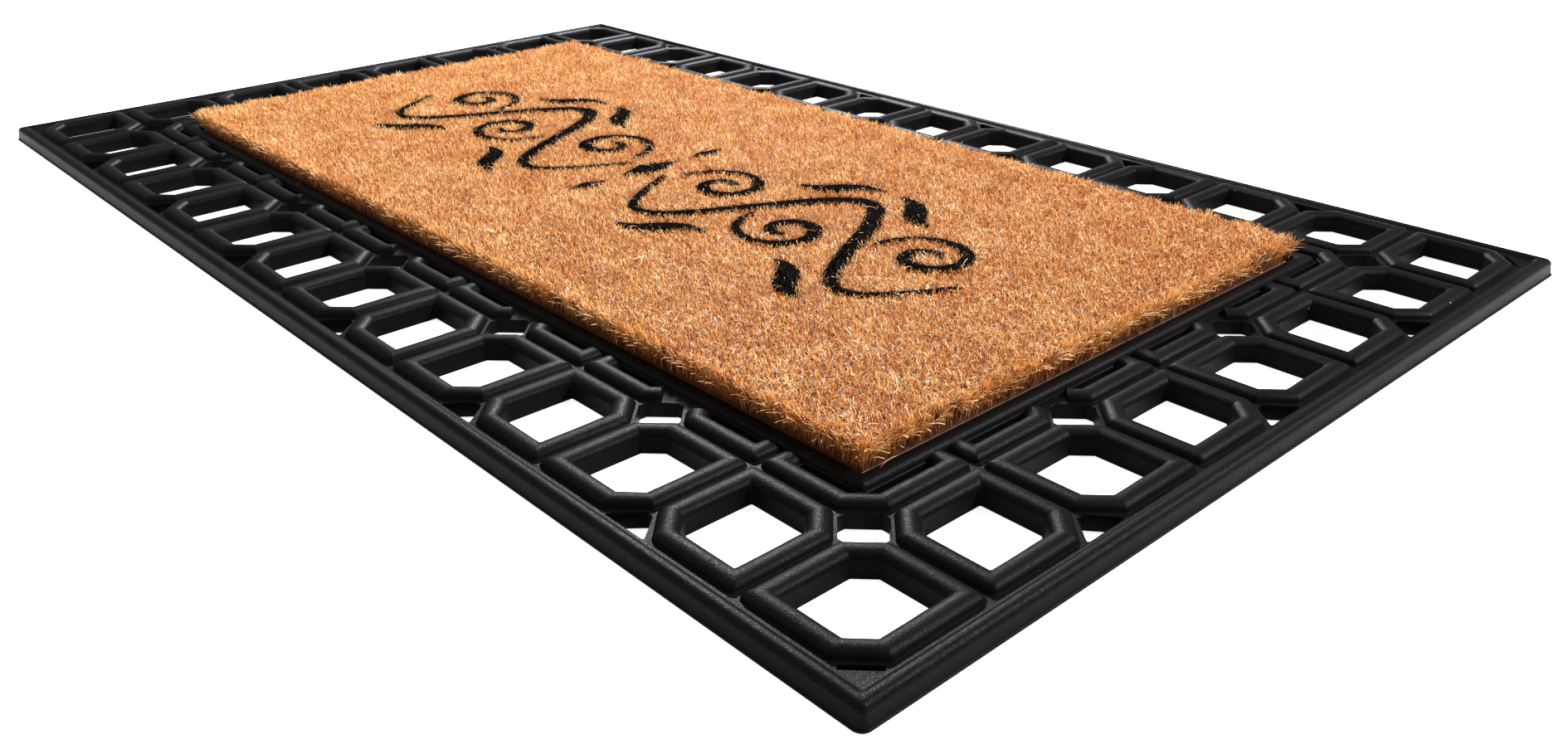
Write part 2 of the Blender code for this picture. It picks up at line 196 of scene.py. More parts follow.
LEFT_NIB_Y = -0.2555
SLANT = 0.1
HALVINGS = 40
LEVEL = 0.000001
SLIVER_AREA = 1e-12
PITCH_X = (MAT_LENGTH - 2 * RIM_REACH) / COLUMNS
PITCH_Y = (MAT_WIDTH - 2 * RIM_REACH) / ROWS
RIB_INSET = RIB_FOOT + RIB_WIDTH / 2
DIAMOND_REACH = CORNER_CUT / math.sqrt(2) + RIB_FOOT - DIAMOND_MARGIN
BORDER_INSET = RIB_FOOT + RIB_WIDTH + POCKET_WIDTH + BORDER_WIDTH / 2
BORDER_X = (COLUMNS / 2 - 1) * PITCH_X - BORDER_INSET
BORDER_Y = (ROWS / 2 - 1) * PITCH_Y - BORDER_INSET


def rectangle(half_x, half_y):
    return [Vector((x * half_x, y * half_y)) for x, y in ((-1, -1), (1, -1), (1, 1), (-1, 1))]


def rounded(outline, radii, segments=3):
    """A closed outline with its corners turned into arcs, of one radius or of one for each."""
    if not isinstance(radii, list):
        radii = [radii] * len(outline)
    points = []
    for index, corner in enumerate(outline):
        before = outline[index - 1] - corner
        after = outline[(index + 1) % len(outline)] - corner
        half_angle = before.angle(after) / 2
        longest = 0.45 * min(before.length, after.length)
        reach = min(radii[index] / math.tan(half_angle), longest)
        inwards = (before.normalized() + after.normalized()).normalized()
        centre = corner + inwards * (reach / math.cos(half_angle))
        start = corner + before.normalized() * reach - centre
        end = corner + after.normalized() * reach - centre
        turn = math.atan2(start.cross(end), start.dot(end))
        for step in range(segments + 1):
            angle = turn * step / segments
            spun = Vector((start.x * math.cos(angle) - start.y * math.sin(angle),
                           start.x * math.sin(angle) + start.y * math.cos(angle)))
            points.append(centre + spun)
    return points


def add_walls(bm, levels):
    """Skins a stack of closed outlines, each given with its height, and returns the last loop."""
    last = None
    for outline, height in levels:
        corners = [bm.verts.new((point.x, point.y, height)) for point in outline]
        loop = [bm.edges.new((corners[index - 1], corner)) for index, corner in enumerate(corners)]
        if last:
            bmesh.ops.bridge_loops(bm, edges=last + loop)
        last = loop
    return last


def fill_level(bm, height):
    """Fills the flat area between all the open outlines at one height."""
    edges = [edge for edge in bm.edges
             if edge.is_boundary and all(abs(corner.co.z - height) < LEVEL for corner in edge.verts)]
    bmesh.ops.triangle_fill(bm, edges=edges, use_beauty=True, normal=(0, 0, 1))
    slivers = [face for face in bm.faces if face.calc_area() < SLIVER_AREA]
    bmesh.ops.delete(bm, geom=slivers, context="FACES")


def is_cut(column, row):
    """Cells lose the corners that lie on every second lattice crossing."""
    return (column + row) % 2 == 0


def crossing(column, row):
    return Vector(((column - COLUMNS / 2) * PITCH_X, (row - ROWS / 2) * PITCH_Y))


def cell_outline(column, row, inset):
    """A cell's outline, moved inwards from the lattice lines, with its two cut corners."""
    leg = CORNER_CUT - (2 - math.sqrt(2)) * inset
    points = []
    for right, up in ((0, 0), (1, 0), (1, 1), (0, 1)):
        inward = Vector((1 - 2 * right, 1 - 2 * up))
        corner = crossing(column + right, row + up) + inward * inset
        if is_cut(column + right, row + up):
            along_x = corner + Vector((inward.x * leg, 0))
            along_y = corner + Vector((0, inward.y * leg))
            points += [along_x, along_y] if right != up else [along_y, along_x]
        else:
            points.append(corner)
    return points


def outside_part(outline, half_x, half_y):
    """The stretch of a closed outline that lies outside a centred rectangle, cut at its sides."""
    def is_inside(point):
        return abs(point.x) < half_x and abs(point.y) < half_y

    def cut(inner, outer):
        low, high = 0.0, 1.0
        for _ in range(HALVINGS):
            middle = (low + high) / 2
            if is_inside(inner.lerp(outer, middle)):
                low = middle
            else:
                high = middle
        return inner.lerp(outer, high)

    turned = list(outline)
    while not is_inside(turned[0]) or is_inside(turned[1]):
        turned.append(turned.pop(0))
    outer = [point for point in turned if not is_inside(point)]
    following = turned[(len(outer) + 1) % len(turned)]
    return [cut(turned[0], outer[0]), *outer, cut(following, outer[-1])]


def band_outline(path, half_width):
    """The outline of a band that follows an open path, with square ends."""
    left, right = [], []
    for index, point in enumerate(path):
        into = (point - path[index - 1]).normalized() if index else (path[1] - point).normalized()
        is_last = index == len(path) - 1
        out_of = into if is_last else (path[index + 1] - point).normalized()
        side = Vector((-into.y - out_of.y, into.x + out_of.x)).normalized()
        reach = half_width / side.dot(Vector((-into.y, into.x)))
        left.append(point + side * reach)
        right.append(point - side * reach)
    return right + left[::-1]


def rib_section(width):
    """Across a half-round rib: distances from its outer foot, with heights above the web."""
    section = [(-FOOT_FILLET, 0.0), (-FOOT_FILLET / 4, RIB_RISE / 20)]
    for step in range(1, RIB_SEGMENTS):
        angle = math.pi * step / RIB_SEGMENTS
        section.append((width / 2 * (1 - math.cos(angle)), RIB_RISE * math.sin(angle) ** RIB_FULLNESS))
    return section


def add_rim(bm):
    """The outer bead: a thin moulding lip at the foot, a leaning wall and a rounded crown."""
    wall_top = LIP_REACH + SIDE_WALL_SLOPE
    profile = [(EDGE_ROUND, 0.0), (0.0, EDGE_ROUND), (0.0, LIP_HEIGHT - EDGE_ROUND),
               (EDGE_ROUND, LIP_HEIGHT), (LIP_REACH - EDGE_ROUND, LIP_HEIGHT + EDGE_ROUND),
               (LIP_REACH, LIP_HEIGHT + 3 * EDGE_ROUND)]
    for step in range(RIB_SEGMENTS + 1):
        angle = math.pi / 2 * step / RIB_SEGMENTS
        profile.append((wall_top + CROWN_SHOULDER * (1 - math.cos(angle)),
                        SIDE_WALL_HEIGHT + (RIM_HEIGHT - SIDE_WALL_HEIGHT) * math.sin(angle)))
    crown_end = wall_top + CROWN_SHOULDER + CROWN_WIDTH
    foot = RIM_REACH - RIM_FOOT_GAP
    for step in range(1, RIB_SEGMENTS + 1):
        share = step / RIB_SEGMENTS
        profile.append((crown_end + (foot - crown_end) * share,
                        WEB_HEIGHT + (RIM_HEIGHT - WEB_HEIGHT) * (1 + math.cos(math.pi * share)) / 2))
    levels = []
    for inset, height in profile:
        radius = max(RIM_CORNER_RADIUS - inset, RIM_INNER_RADIUS)
        outline = rectangle(MAT_LENGTH / 2 - inset, MAT_WIDTH / 2 - inset)
        levels.append((rounded(outline, radius, 10), height))
    add_walls(bm, levels)


def add_open_cell(bm, column, row):
    """A ring rib round a hole that goes right through, with a trace of flash at its foot."""
    section = [(across, WEB_HEIGHT + rise) for across, rise in rib_section(RIB_WIDTH)]
    section += [(RIB_WIDTH, WEB_HEIGHT), (RIB_WIDTH + HOLE_DRAFT - FLASH_REACH, FLASH_HEIGHT),
                (RIB_WIDTH + HOLE_DRAFT, FLASH_HEIGHT / 2), (RIB_WIDTH + HOLE_DRAFT, 0.0)]
    levels = []
    for across, height in section:
        radius = max(OUTER_BEND_RADIUS - across / 2, INNER_BEND_RADIUS)
        levels.append((rounded(cell_outline(column, row, RIB_FOOT + across), radius), height))
    add_walls(bm, levels)


def add_through_hole(bm, outline):
    """A hole with a softened upper edge. The outline is the one at the web."""
    centre = sum(outline, Vector((0, 0))) / len(outline)
    reach = max((point - centre).length for point in outline)
    levels = []
    for inset, height in ((0.0, WEB_HEIGHT), (EDGE_ROUND, WEB_HEIGHT - EDGE_ROUND), (DIAMOND_DRAFT, 0.0)):
        scale = 1 - inset / reach
        levels.append(([centre + (point - centre) * scale for point in outline], height))
    add_walls(bm, levels)


def diamond_outline(centre):
    """A square turned by 45 degrees, with its four tips cut off."""
    reach = DIAMOND_REACH * math.sqrt(2) - DIAMOND_TIP_CUT
    tip = DIAMOND_TIP_CUT
    points = [(-tip, -reach), (tip, -reach), (reach, -tip), (reach, tip)]
    points += [(tip, reach), (-tip, reach), (-reach, tip), (-reach, -tip)]
    return [centre + Vector(point) for point in points]


def half_diamond_outline(centre, inward):
    """The part of a diamond that is left inside the rim, on the side that inward points to."""
    across = Vector((-inward.y, inward.x))
    reach = DIAMOND_REACH * math.sqrt(2) - DIAMOND_TIP_CUT
    tip = DIAMOND_TIP_CUT
    base = reach - RIM_OPENING_START
    points = [(base, RIM_OPENING_START), (tip, reach), (-tip, reach), (-base, RIM_OPENING_START)]
    return [centre + across * x + inward * y for x, y in points]


def add_corner_recess(bm, column, row):
    """The shallow slot between a mat corner and the cut corner of the cell beside it."""
    centre = crossing(column, row)
    inward = Vector((1 if column == 0 else -1, 1 if row == 0 else -1)).normalized()
    across = Vector((-inward.y, inward.x))
    near = DIAMOND_REACH - CORNER_RECESS_WIDTH
    half = near - RIM_OPENING_START * math.sqrt(2)
    points = [(half, near), (DIAMOND_REACH - DIAMOND_TIP_CUT, DIAMOND_REACH)]
    points += [(-x, y) for x, y in reversed(points)]
    outline = rounded([centre + across * x + inward * y for x, y in points], EDGE_ROUND * 3)
    middle = sum(outline, Vector((0, 0))) / len(outline)
    floor_outline = [middle.lerp(point, 0.9) for point in outline]
    levels = [(outline, WEB_HEIGHT), (floor_outline, CORNER_RECESS_FLOOR)]
    bmesh.ops.edgeloop_fill(bm, edges=add_walls(bm, levels))


def add_closed_cell(bm, column, row):
    """A cell that the border cuts off: part of a ring rib, and a blind pocket behind it."""
    foot_x = BORDER_X + BORDER_WIDTH / 2
    foot_y = BORDER_Y + BORDER_WIDTH / 2
    gap_x, gap_y = foot_x + RETURN_GAP_SHORT_SIDE, foot_y + RETURN_GAP_LONG_SIDE
    path = outside_part(cell_outline(column, row, RIB_INSET), gap_x, gap_y)
    runs = [(path[end] - path[inner]).normalized() for end, inner in ((0, 1), (-1, -2))]
    for end, run in zip((0, -1), runs):
        if min(abs(run.x), abs(run.y)) > SLANT:
            path[end] -= run * RIB_WIDTH / 2
    levels = []
    bends = len(path) - 2
    for across, rise in rib_section(RIB_WIDTH)[:RIB_SEGMENTS // 2 + 2]:
        half_width = max(RIB_WIDTH / 2 - across, EDGE_ROUND)
        share = rise / RIB_RISE
        drawn_in = list(path)
        for end, run in zip((0, -1), runs):
            drawn_in[end] = path[end] - run * END_ROUND * share ** 4
        bend_radius = OUTER_BEND_RADIUS * (1.2 - share)
        radii = [EDGE_ROUND * 2] + [bend_radius] * bends + [EDGE_ROUND * 2] * 2
        radii += [INNER_BEND_RADIUS] * bends + [EDGE_ROUND * 2]
        radii = [min(radius, half_width * 0.9) for radius in radii]
        levels.append((rounded(band_outline(drawn_in, half_width), radii), WEB_HEIGHT + rise))
    bmesh.ops.edgeloop_fill(bm, edges=add_walls(bm, levels))

    behind = RIB_INSET + RIB_WIDTH / 2 + POCKET_MARGIN
    edge_x, edge_y = foot_x + POCKET_MARGIN, foot_y + POCKET_MARGIN
    levels = []
    steps = ((0.0, WEB_HEIGHT), (EDGE_ROUND, WEB_HEIGHT - EDGE_ROUND), (POCKET_DRAFT, POCKET_FLOOR))
    for draft, height in steps:
        pocket = outside_part(cell_outline(column, row, behind + draft), edge_x + draft, edge_y + draft)
        if column in (1, COLUMNS - 2) and row in (1, ROWS - 2):
            pocket.append(Vector((math.copysign(edge_x + draft, pocket[0].x),
                                  math.copysign(edge_y + draft, pocket[0].y))))
        levels.append((rounded(pocket, POCKET_RADIUS), height))
    bmesh.ops.edgeloop_fill(bm, edges=add_walls(bm, levels))


def add_border_and_tray(bm):
    """The rib round the insert, and the tray floor inside it."""
    section = [(across, WEB_HEIGHT + rise) for across, rise in rib_section(BORDER_WIDTH)]
    section += [(BORDER_WIDTH, WEB_HEIGHT), (BORDER_WIDTH, TRAY_FLOOR)]
    levels = []
    for across, height in section:
        outline = rectangle(BORDER_X + BORDER_WIDTH / 2 - across, BORDER_Y + BORDER_WIDTH / 2 - across)
        levels.append((rounded(outline, max(OUTER_BEND_RADIUS - across, EDGE_ROUND)), height))
    bmesh.ops.edgeloop_fill(bm, edges=add_walls(bm, levels))


def add_nib(bm, place, outwards):
    """A stub of rubber left where the mould was vented, standing out of the rim's wall."""
    turned = outwards.to_track_quat("Z", "Y").to_matrix().to_4x4()
    bmesh.ops.create_cone(bm, cap_ends=True, segments=8, radius1=NIB_RADIUS, radius2=NIB_RADIUS * 0.6,
                          depth=NIB_LENGTH, matrix=Matrix.Translation(place) @ turned)


def finish_piece(name, bm, material, sharp_angle=35.0):
    """A mesh object from a bmesh, with its faces outwards and its soft edges shaded smooth."""
    bmesh.ops.recalc_face_normals(bm, faces=bm.faces)
    mesh = bpy.data.meshes.new(name)
    bm.to_mesh(mesh)
    bm.free()
    mesh.shade_smooth()
    mesh.set_sharp_from_angle(angle=math.radians(sharp_angle))
    mesh.materials.append(material)
    piece = bpy.data.objects.new(name, mesh)
    bpy.context.scene.collection.objects.link(piece)
    return piece


def make_moulded_rubber():
    """Compression-moulded rubber: nearly black, satin, with a fine mould grain and a little dust."""
    material, tree, shader = start_material("moulded_rubber", {"IOR": 1.22, "Specular IOR Level": 0.1})
    place = add_node(tree, "TexCoord").outputs["Object"]
    bloom = add_node(tree, "TexNoise", {"Vector": place, "Scale": 28.0, "Detail": 4.0})
    tone = add_node(tree, "ValToRGB", {"Fac": bloom.outputs["Fac"]},
                    stops=((0.35, "060606"), (0.7, "0b0a0a")))
    grain = add_node(tree, "TexNoise", {"Vector": place, "Scale": 1300.0, "Detail": 3.0})
    specks = add_node(tree, "TexVoronoi", {"Vector": place, "Scale": 150.0})
    small = add_node(tree, "Math", {0: specks.outputs["Distance"], 1: 0.07}, operation="LESS_THAN")
    channel = add_node(tree, "SeparateColor", {"Color": specks.outputs["Color"]})
    few = add_node(tree, "Math", {0: channel.outputs["Red"], 1: 0.985}, operation="GREATER_THAN")
    dust = add_node(tree, "Math", {0: small.outputs["Value"], 1: few.outputs["Value"]}, operation="MULTIPLY")
    colour = add_node(tree, "Mix", {"Factor": dust.outputs["Value"], "A": tone.outputs["Color"],
                                    "B": srgb("c9c4ba")}, data_type="RGBA")
    tree.links.new(colour.outputs["Result"], shader.inputs["Base Color"])
    gloss = add_node(tree, "MapRange", {"Value": grain.outputs["Fac"], "From Min": 0.3, "From Max": 0.7,
                                        "To Min": 0.30, "To Max": 0.56})
    tree.links.new(gloss.outputs["Result"], shader.inputs["Roughness"])
    bump = add_node(tree, "Bump", {"Height": grain.outputs["Fac"], "Strength": 0.6, "Distance": 0.0003})
    tree.links.new(bump.outputs["Normal"], shader.inputs["Normal"])
    return material


bm = bmesh.new()
add_rim(bm)
for column in range(COLUMNS):
    for row in range(ROWS):
        ring = min(column, row, COLUMNS - 1 - column, ROWS - 1 - row)
        if ring == 0:
            add_open_cell(bm, column, row)
        elif ring == 1:
            add_closed_cell(bm, column, row)
for column in range(COLUMNS + 1):
    for row in range(ROWS + 1):
        ring = min(column, row, COLUMNS - column, ROWS - row)
        if not is_cut(column, row) or ring > 1:
            continue
        inward = Vector(((column == 0) - (column == COLUMNS), (row == 0) - (row == ROWS)))
        if ring == 1:
            add_through_hole(bm, rounded(diamond_outline(crossing(column, row)), EDGE_ROUND * 3))
        elif inward.x and inward.y:
            add_corner_recess(bm, column, row)
        else:
            add_through_hole(bm, rounded(half_diamond_outline(crossing(column, row), inward), EDGE_ROUND * 3))
add_border_and_tray(bm)
fill_level(bm, WEB_HEIGHT)
fill_level(bm, 0.0)
add_nib(bm, Vector((BACK_NIB_X, MAT_WIDTH / 2, NIB_HEIGHT)), Vector((0, 1, 0)))
add_nib(bm, Vector((-MAT_LENGTH / 2, LEFT_NIB_Y, NIB_HEIGHT)), Vector((-1, 0, 0)))
moulded_frame = finish_piece("moulded_frame", bm, make_moulded_rubber())
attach(moulded_frame, "root")
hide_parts("rubber_frame")


# ---- Hot-melt adhesive ----
# A thin layer of clear amber adhesive on the tray floor, rolled out short of the insert's edges.

def make_amber_adhesive():
    """Dried hot melt: amber, glossy and a little lumpy where it was rolled out."""
    material, tree, shader = start_material("amber_adhesive", {"Roughness": 0.28, "IOR": 1.48})
    place = add_node(tree, "TexCoord").outputs["Object"]
    pools = add_node(tree, "TexNoise", {"Vector": place, "Scale": 90.0, "Detail": 3.0})
    tone = add_node(tree, "ValToRGB", {"Fac": pools.outputs["Fac"]}, stops=((0.3, "a8803c"), (0.7, "d9b56b")))
    tree.links.new(tone.outputs["Color"], shader.inputs["Base Color"])
    bump = add_node(tree, "Bump", {"Height": pools.outputs["Fac"], "Strength": 0.5, "Distance": 0.0006})
    tree.links.new(bump.outputs["Normal"], shader.inputs["Normal"])
    return material


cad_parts["adhesive_layer"].material_slots[0].material = make_amber_adhesive()


# ---- Vinyl backing ----
# The brown vinyl sheet into which the coir fibres were pressed while it was soft.

def make_foamed_vinyl():
    """Cast vinyl: dull brown, with fine pores that break up its sheen."""
    material, tree, shader = start_material("foamed_vinyl", {"Roughness": 0.62, "IOR": 1.53})
    place = add_node(tree, "TexCoord").outputs["Object"]
    pores = add_node(tree, "TexVoronoi", {"Vector": place, "Scale": 900.0})
    tone = add_node(tree, "ValToRGB", {"Fac": pores.outputs["Distance"]},
                    stops=((0.0, "4c3826"), (0.5, "75583c")))
    tree.links.new(tone.outputs["Color"], shader.inputs["Base Color"])
    bump = add_node(tree, "Bump", {"Height": pores.outputs["Distance"], "Strength": 0.4, "Distance": 0.0003})
    tree.links.new(bump.outputs["Normal"], shader.inputs["Normal"])
    return material


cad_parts["vinyl_backing"].material_slots[0].material = make_foamed_vinyl()


# ---- Coir pile ----
# Bristle coir: husk fibres standing in the backing, sheared level. The imported depth of the pile is
# one bed, coloured dark as painted shade, and the upper few millimetres are single fibres, gathered into
# tufts.

PILE_LOW, PILE_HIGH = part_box("coir_pile")
PILE_TOP = PILE_HIGH.z
BED_DEPTH = 0.0034
BED_STEP = 0.0040
BED_ROUGHNESS = 0.0012
BED_MARGIN = 0.0026
TILES_X = 5
TILES_Y = 2
FIBRE_SPACING = 0.00098
FIBRE_WIDTH = 0.00052  # real husk fibres are 0.1 to 0.3 mm thick; drawn coarser, so that they show
FIBRE_LENGTH = 0.0046
TUFT_SPACING = 0.0040
TUFT_PULL = 0.42
TIP_SPREAD = 0.0011
TOP_UNEVENNESS = 0.0006
FIRST_ROW = 0.0006
LAST_ROW = 0.0004
LENGTH_SPREAD = 0.00025
COLOUR_STRAY = 0.0007
PALE_SHARE = 0.05
PLANTED_SHARE = 0.93
EDGE_ROUNDING = 0.0026
EDGE_DROP = 0.0007
random = np.random.default_rng(11)


def make_blade(segments, bend, twist, taper):
    """One flat fibre of unit height: its middle line, its side vectors and its faces."""
    bm = bmesh.new()
    bmesh.ops.create_grid(bm, x_segments=1, y_segments=segments, size=0.5)
    bmesh.ops.translate(bm, verts=bm.verts, vec=(0, 0.5, 0))
    heights = np.array([corner.co.y for corner in bm.verts])
    sides = np.array([corner.co.x for corner in bm.verts])
    quads = np.array([[corner.index for corner in face.verts] for face in bm.faces])
    bm.free()
    angles = bend * heights
    middle = np.stack([np.zeros_like(heights), (1 - np.cos(angles)) / bend, np.sin(angles) / bend], 1)
    turns = twist * heights
    widths = sides * (1 - (1 - taper) * heights)
    side = np.stack([np.cos(turns) * widths, np.sin(turns) * widths, np.zeros_like(heights)], 1)
    return heights, middle, side, quads


def plant_fibres(name, material, blades, roots, lengths, widths, leans, tones, bare=0.0):
    """One mesh of many fibres: a blade picked at random for each root, turned, sized and leant.

    Bare is the share of the change from the painted root shade to the tip colour that is already past at the
    root.
    """
    count = len(roots)
    kinds = random.integers(0, len(blades), count)
    yaws = random.uniform(0, 2 * math.pi, count)
    points, quads, heights, shades = [], [], [], []
    start = 0
    for kind, (height, middle, side, faces) in enumerate(blades):
        chosen = np.flatnonzero(kinds == kind)
        shape = (middle[None] * lengths[chosen, None, None] + side[None] * widths[chosen, None, None])
        cosine, sine = np.cos(yaws[chosen])[:, None], np.sin(yaws[chosen])[:, None]
        placed = np.empty_like(shape)
        placed[:, :, 0] = shape[:, :, 0] * cosine - shape[:, :, 1] * sine
        placed[:, :, 1] = shape[:, :, 0] * sine + shape[:, :, 1] * cosine
        placed[:, :, 2] = shape[:, :, 2]
        placed[:, :, :2] += leans[chosen, None, :] * (height ** 1.5)[None, :, None]
        placed += roots[chosen, None, :]
        points.append(placed.reshape(-1, 3))
        firsts = start + np.arange(len(chosen)) * len(height)
        quads.append((faces[None] + firsts[:, None, None]).reshape(-1, 4))
        heights.append(np.tile(bare + (1 - bare) * height, len(chosen)))
        shades.append(np.repeat(tones[chosen], len(height)))
        start += len(chosen) * len(height)
    points, quads = np.concatenate(points), np.concatenate(quads)
    mesh = bpy.data.meshes.new(name)
    mesh.vertices.add(len(points))
    mesh.vertices.foreach_set("co", points.astype(np.float32).ravel())
    mesh.loops.add(quads.size)
    mesh.loops.foreach_set("vertex_index", quads.astype(np.int32).ravel())
    mesh.polygons.add(len(quads))
    mesh.polygons.foreach_set("loop_start", np.arange(0, quads.size, 4, dtype=np.int32))
    mesh.update(calc_edges=True)
    for attribute, values in (("fibre_height", heights), ("fibre_tone", shades)):
        layer = mesh.attributes.new(attribute, "FLOAT", "POINT")
        layer.data.foreach_set("value", np.concatenate(values).astype(np.float32))
    mesh.shade_smooth()
    mesh.materials.append(material)
    piece = bpy.data.objects.new(name, mesh)
    bpy.context.scene.collection.objects.link(piece)
    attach(piece, "root")
    return piece


def make_coir(name, tones, root_shade_tone, bed=False, sheen=0.35):
    """Dry husk fibre: waxy and golden at the tips, and painted red-brown and dark towards the root as the
    shade where it goes down into the pile.
    """
    material, tree, shader = start_material(name, {"Roughness": 0.6, "IOR": 1.5, "Specular IOR Level": sheen})
    place = add_node(tree, "TexCoord").outputs["Object"]
    patches = add_node(tree, "TexNoise", {"Vector": place, "Scale": 34.0, "Detail": 3.0, "Roughness": 0.6})
    shift = add_node(tree, "MapRange", {"Value": patches.outputs["Fac"], "From Min": 0.3, "From Max": 0.7,
                                        "To Min": -0.16, "To Max": 0.16})
    if bed:
        strands = add_node(tree, "TexNoise", {"Vector": place, "Scale": 700.0, "Detail": 3.0})
        own_tone, height = strands.outputs["Fac"], strands.outputs["Fac"]
    else:
        own_tone = add_node(tree, "Attribute", attribute_name="fibre_tone").outputs["Fac"]
        height = add_node(tree, "Attribute", attribute_name="fibre_height").outputs["Fac"]
    both = add_node(tree, "Math", {0: own_tone, 1: shift.outputs["Result"]}, operation="ADD")
    ramp = add_node(tree, "ValToRGB", {"Fac": both.outputs["Value"]}, stops=tones)
    # Painted shade: the colour grows darker towards the root, for the shade deep in the pile.
    depth = add_node(tree, "MapRange", {"Value": height, "From Min": 0.0, "From Max": 0.8},
                     interpolation_type="SMOOTHSTEP")
    colour = add_node(tree, "Mix", {"Factor": depth.outputs["Result"], "A": srgb(root_shade_tone),
                                    "B": ramp.outputs["Color"]}, data_type="RGBA")
    tree.links.new(colour.outputs["Result"], shader.inputs["Base Color"])
    return material


NATURAL_TONES = ((0.0, "9e5223"), (0.3, "c98440"), (0.6, "e5ad63"), (0.85, "f4d094"), (1.0, "fdeecb"))
BLACK_TONES = ((0.0, "080707"), (0.6, "100e0d"), (0.93, "1a1715"), (1.0, "3a2c22"))
natural_coir = make_coir("natural_husk_fibre", NATURAL_TONES, "8a4427")
# Painted shade: the bed's dark tones stand for the shade in the depth of the pile.
BED_SHADE_TONES = ((0.0, "2c1208"), (0.5, "57290f"), (1.0, "7a4220"))
shaded_natural_bed = make_coir("shaded_packed_husk_fibre", BED_SHADE_TONES, "2c1208", bed=True)
black_coir = make_coir("dyed_husk_fibre", BLACK_TONES, "050404", sheen=0.1)
black_bed = make_coir("packed_dyed_fibre", ((0.0, "060505"), (1.0, "14110f")), "060505", bed=True, sheen=0.0)

# Which dyed stroke covers a spot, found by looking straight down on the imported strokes.
stroke_names = sorted(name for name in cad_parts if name.startswith("inlay_"))
stroke_mesh = bmesh.new()
stroke_of_face = []
for name in stroke_names:
    before = len(stroke_mesh.faces)
    stroke_mesh.from_mesh(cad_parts[name].data)
    stroke_of_face += [name] * (len(stroke_mesh.faces) - before)
stroke_tree = BVHTree.FromBMesh(stroke_mesh)
stroke_mesh.free()


def stroke_at(x, y):
    face = stroke_tree.ray_cast(Vector((x, y, 1.0)), Vector((0, 0, -1)))[2]
    return None if face is None else stroke_of_face[face]


def tuft_centres(spots):
    """For each spot, the middle of the nearest tuft and that tuft's own random number."""
    across = int((PILE_HIGH.x - PILE_LOW.x) / TUFT_SPACING) + 6
    along = int((PILE_HIGH.y - PILE_LOW.y) / TUFT_SPACING) + 6
    seeded = np.random.default_rng(5)
    jitter = seeded.uniform(-0.42, 0.42, (across, along, 2))
    numbers = seeded.uniform(0, 1, (across, along))
    origin = np.array([PILE_LOW.x, PILE_LOW.y]) - 2 * TUFT_SPACING
    cell = np.floor((spots - origin) / TUFT_SPACING).astype(int)
    nearest = np.full(len(spots), np.inf)
    centres, values = np.zeros_like(spots), np.zeros(len(spots))
    for step_x in (-1, 0, 1):
        for step_y in (-1, 0, 1):
            i = np.clip(cell[:, 0] + step_x, 0, across - 1)
            j = np.clip(cell[:, 1] + step_y, 0, along - 1)
            middle = origin + (np.stack([i, j], 1) + 0.5 + jitter[i, j]) * TUFT_SPACING
            distance = np.linalg.norm(spots - middle, axis=1)
            closer = distance < nearest
            nearest[closer] = distance[closer]
            centres[closer] = middle[closer]
            values[closer] = numbers[i, j][closer]
    return centres, values


def make_bed():
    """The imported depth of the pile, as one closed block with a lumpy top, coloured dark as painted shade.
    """
    bm = bmesh.new()
    half_x, half_y = PILE_HIGH.x - BED_MARGIN, PILE_HIGH.y - BED_MARGIN
    bmesh.ops.create_grid(bm, x_segments=round(2 * half_x / BED_STEP),
                          y_segments=round(2 * half_y / BED_STEP), size=1)
    bmesh.ops.scale(bm, verts=bm.verts, vec=(half_x, half_y, 1))
    top = list(bm.verts)
    rim = [edge for edge in bm.edges if edge.is_boundary]
    for corner in top:
        lump = noise.noise(Vector((corner.co.x, corner.co.y, 0)) / TUFT_SPACING)
        corner.co.z = PILE_TOP - BED_DEPTH + BED_ROUGHNESS * lump
    skirt = bmesh.ops.extrude_edge_only(bm, edges=rim)["geom"]
    feet = [part for part in skirt if isinstance(part, bmesh.types.BMVert)]
    for foot in feet:
        foot.co.z = PILE_LOW.z
    bmesh.ops.edgeloop_fill(bm, edges=[part for part in skirt if isinstance(part, bmesh.types.BMEdge)])
    return finish_piece("coir_bed", bm, shaded_natural_bed)


coir_bed = make_bed()
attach(coir_bed, "root")
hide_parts("coir_pile")

short_blades = [make_blade(2, bend, twist, taper)
                for bend in (0.25, 0.7, 1.2, 1.8) for twist in (0.0, 0.9) for taper in (0.35, 0.6)]

# Every fibre of the sheared top: a jittered grid of roots, split between natural and dyed.
along_x = np.arange(PILE_LOW.x + FIRST_ROW, PILE_HIGH.x - LAST_ROW, FIBRE_SPACING)
along_y = np.arange(PILE_LOW.y + FIRST_ROW, PILE_HIGH.y - LAST_ROW, FIBRE_SPACING)
spots = np.stack(np.meshgrid(along_x, along_y), -1).reshape(-1, 2)
spots += random.uniform(-0.5, 0.5, spots.shape) * FIBRE_SPACING
centres, tuft_numbers = tuft_centres(spots)
leans = (centres - spots) * TUFT_PULL + random.normal(0, TIP_SPREAD, spots.shape)
half_size = np.array([PILE_HIGH.x, PILE_HIGH.y])
edge_distance = (half_size - np.abs(spots)).min(1)
near_edge = np.clip(1 - edge_distance / EDGE_ROUNDING, 0, 1)
tips = PILE_TOP - EDGE_DROP * near_edge ** 2 + (tuft_numbers - 0.5) * TOP_UNEVENNESS
tips += random.normal(0, LENGTH_SPREAD, len(spots))
lengths = FIBRE_LENGTH * random.uniform(0.8, 1.2, len(spots))
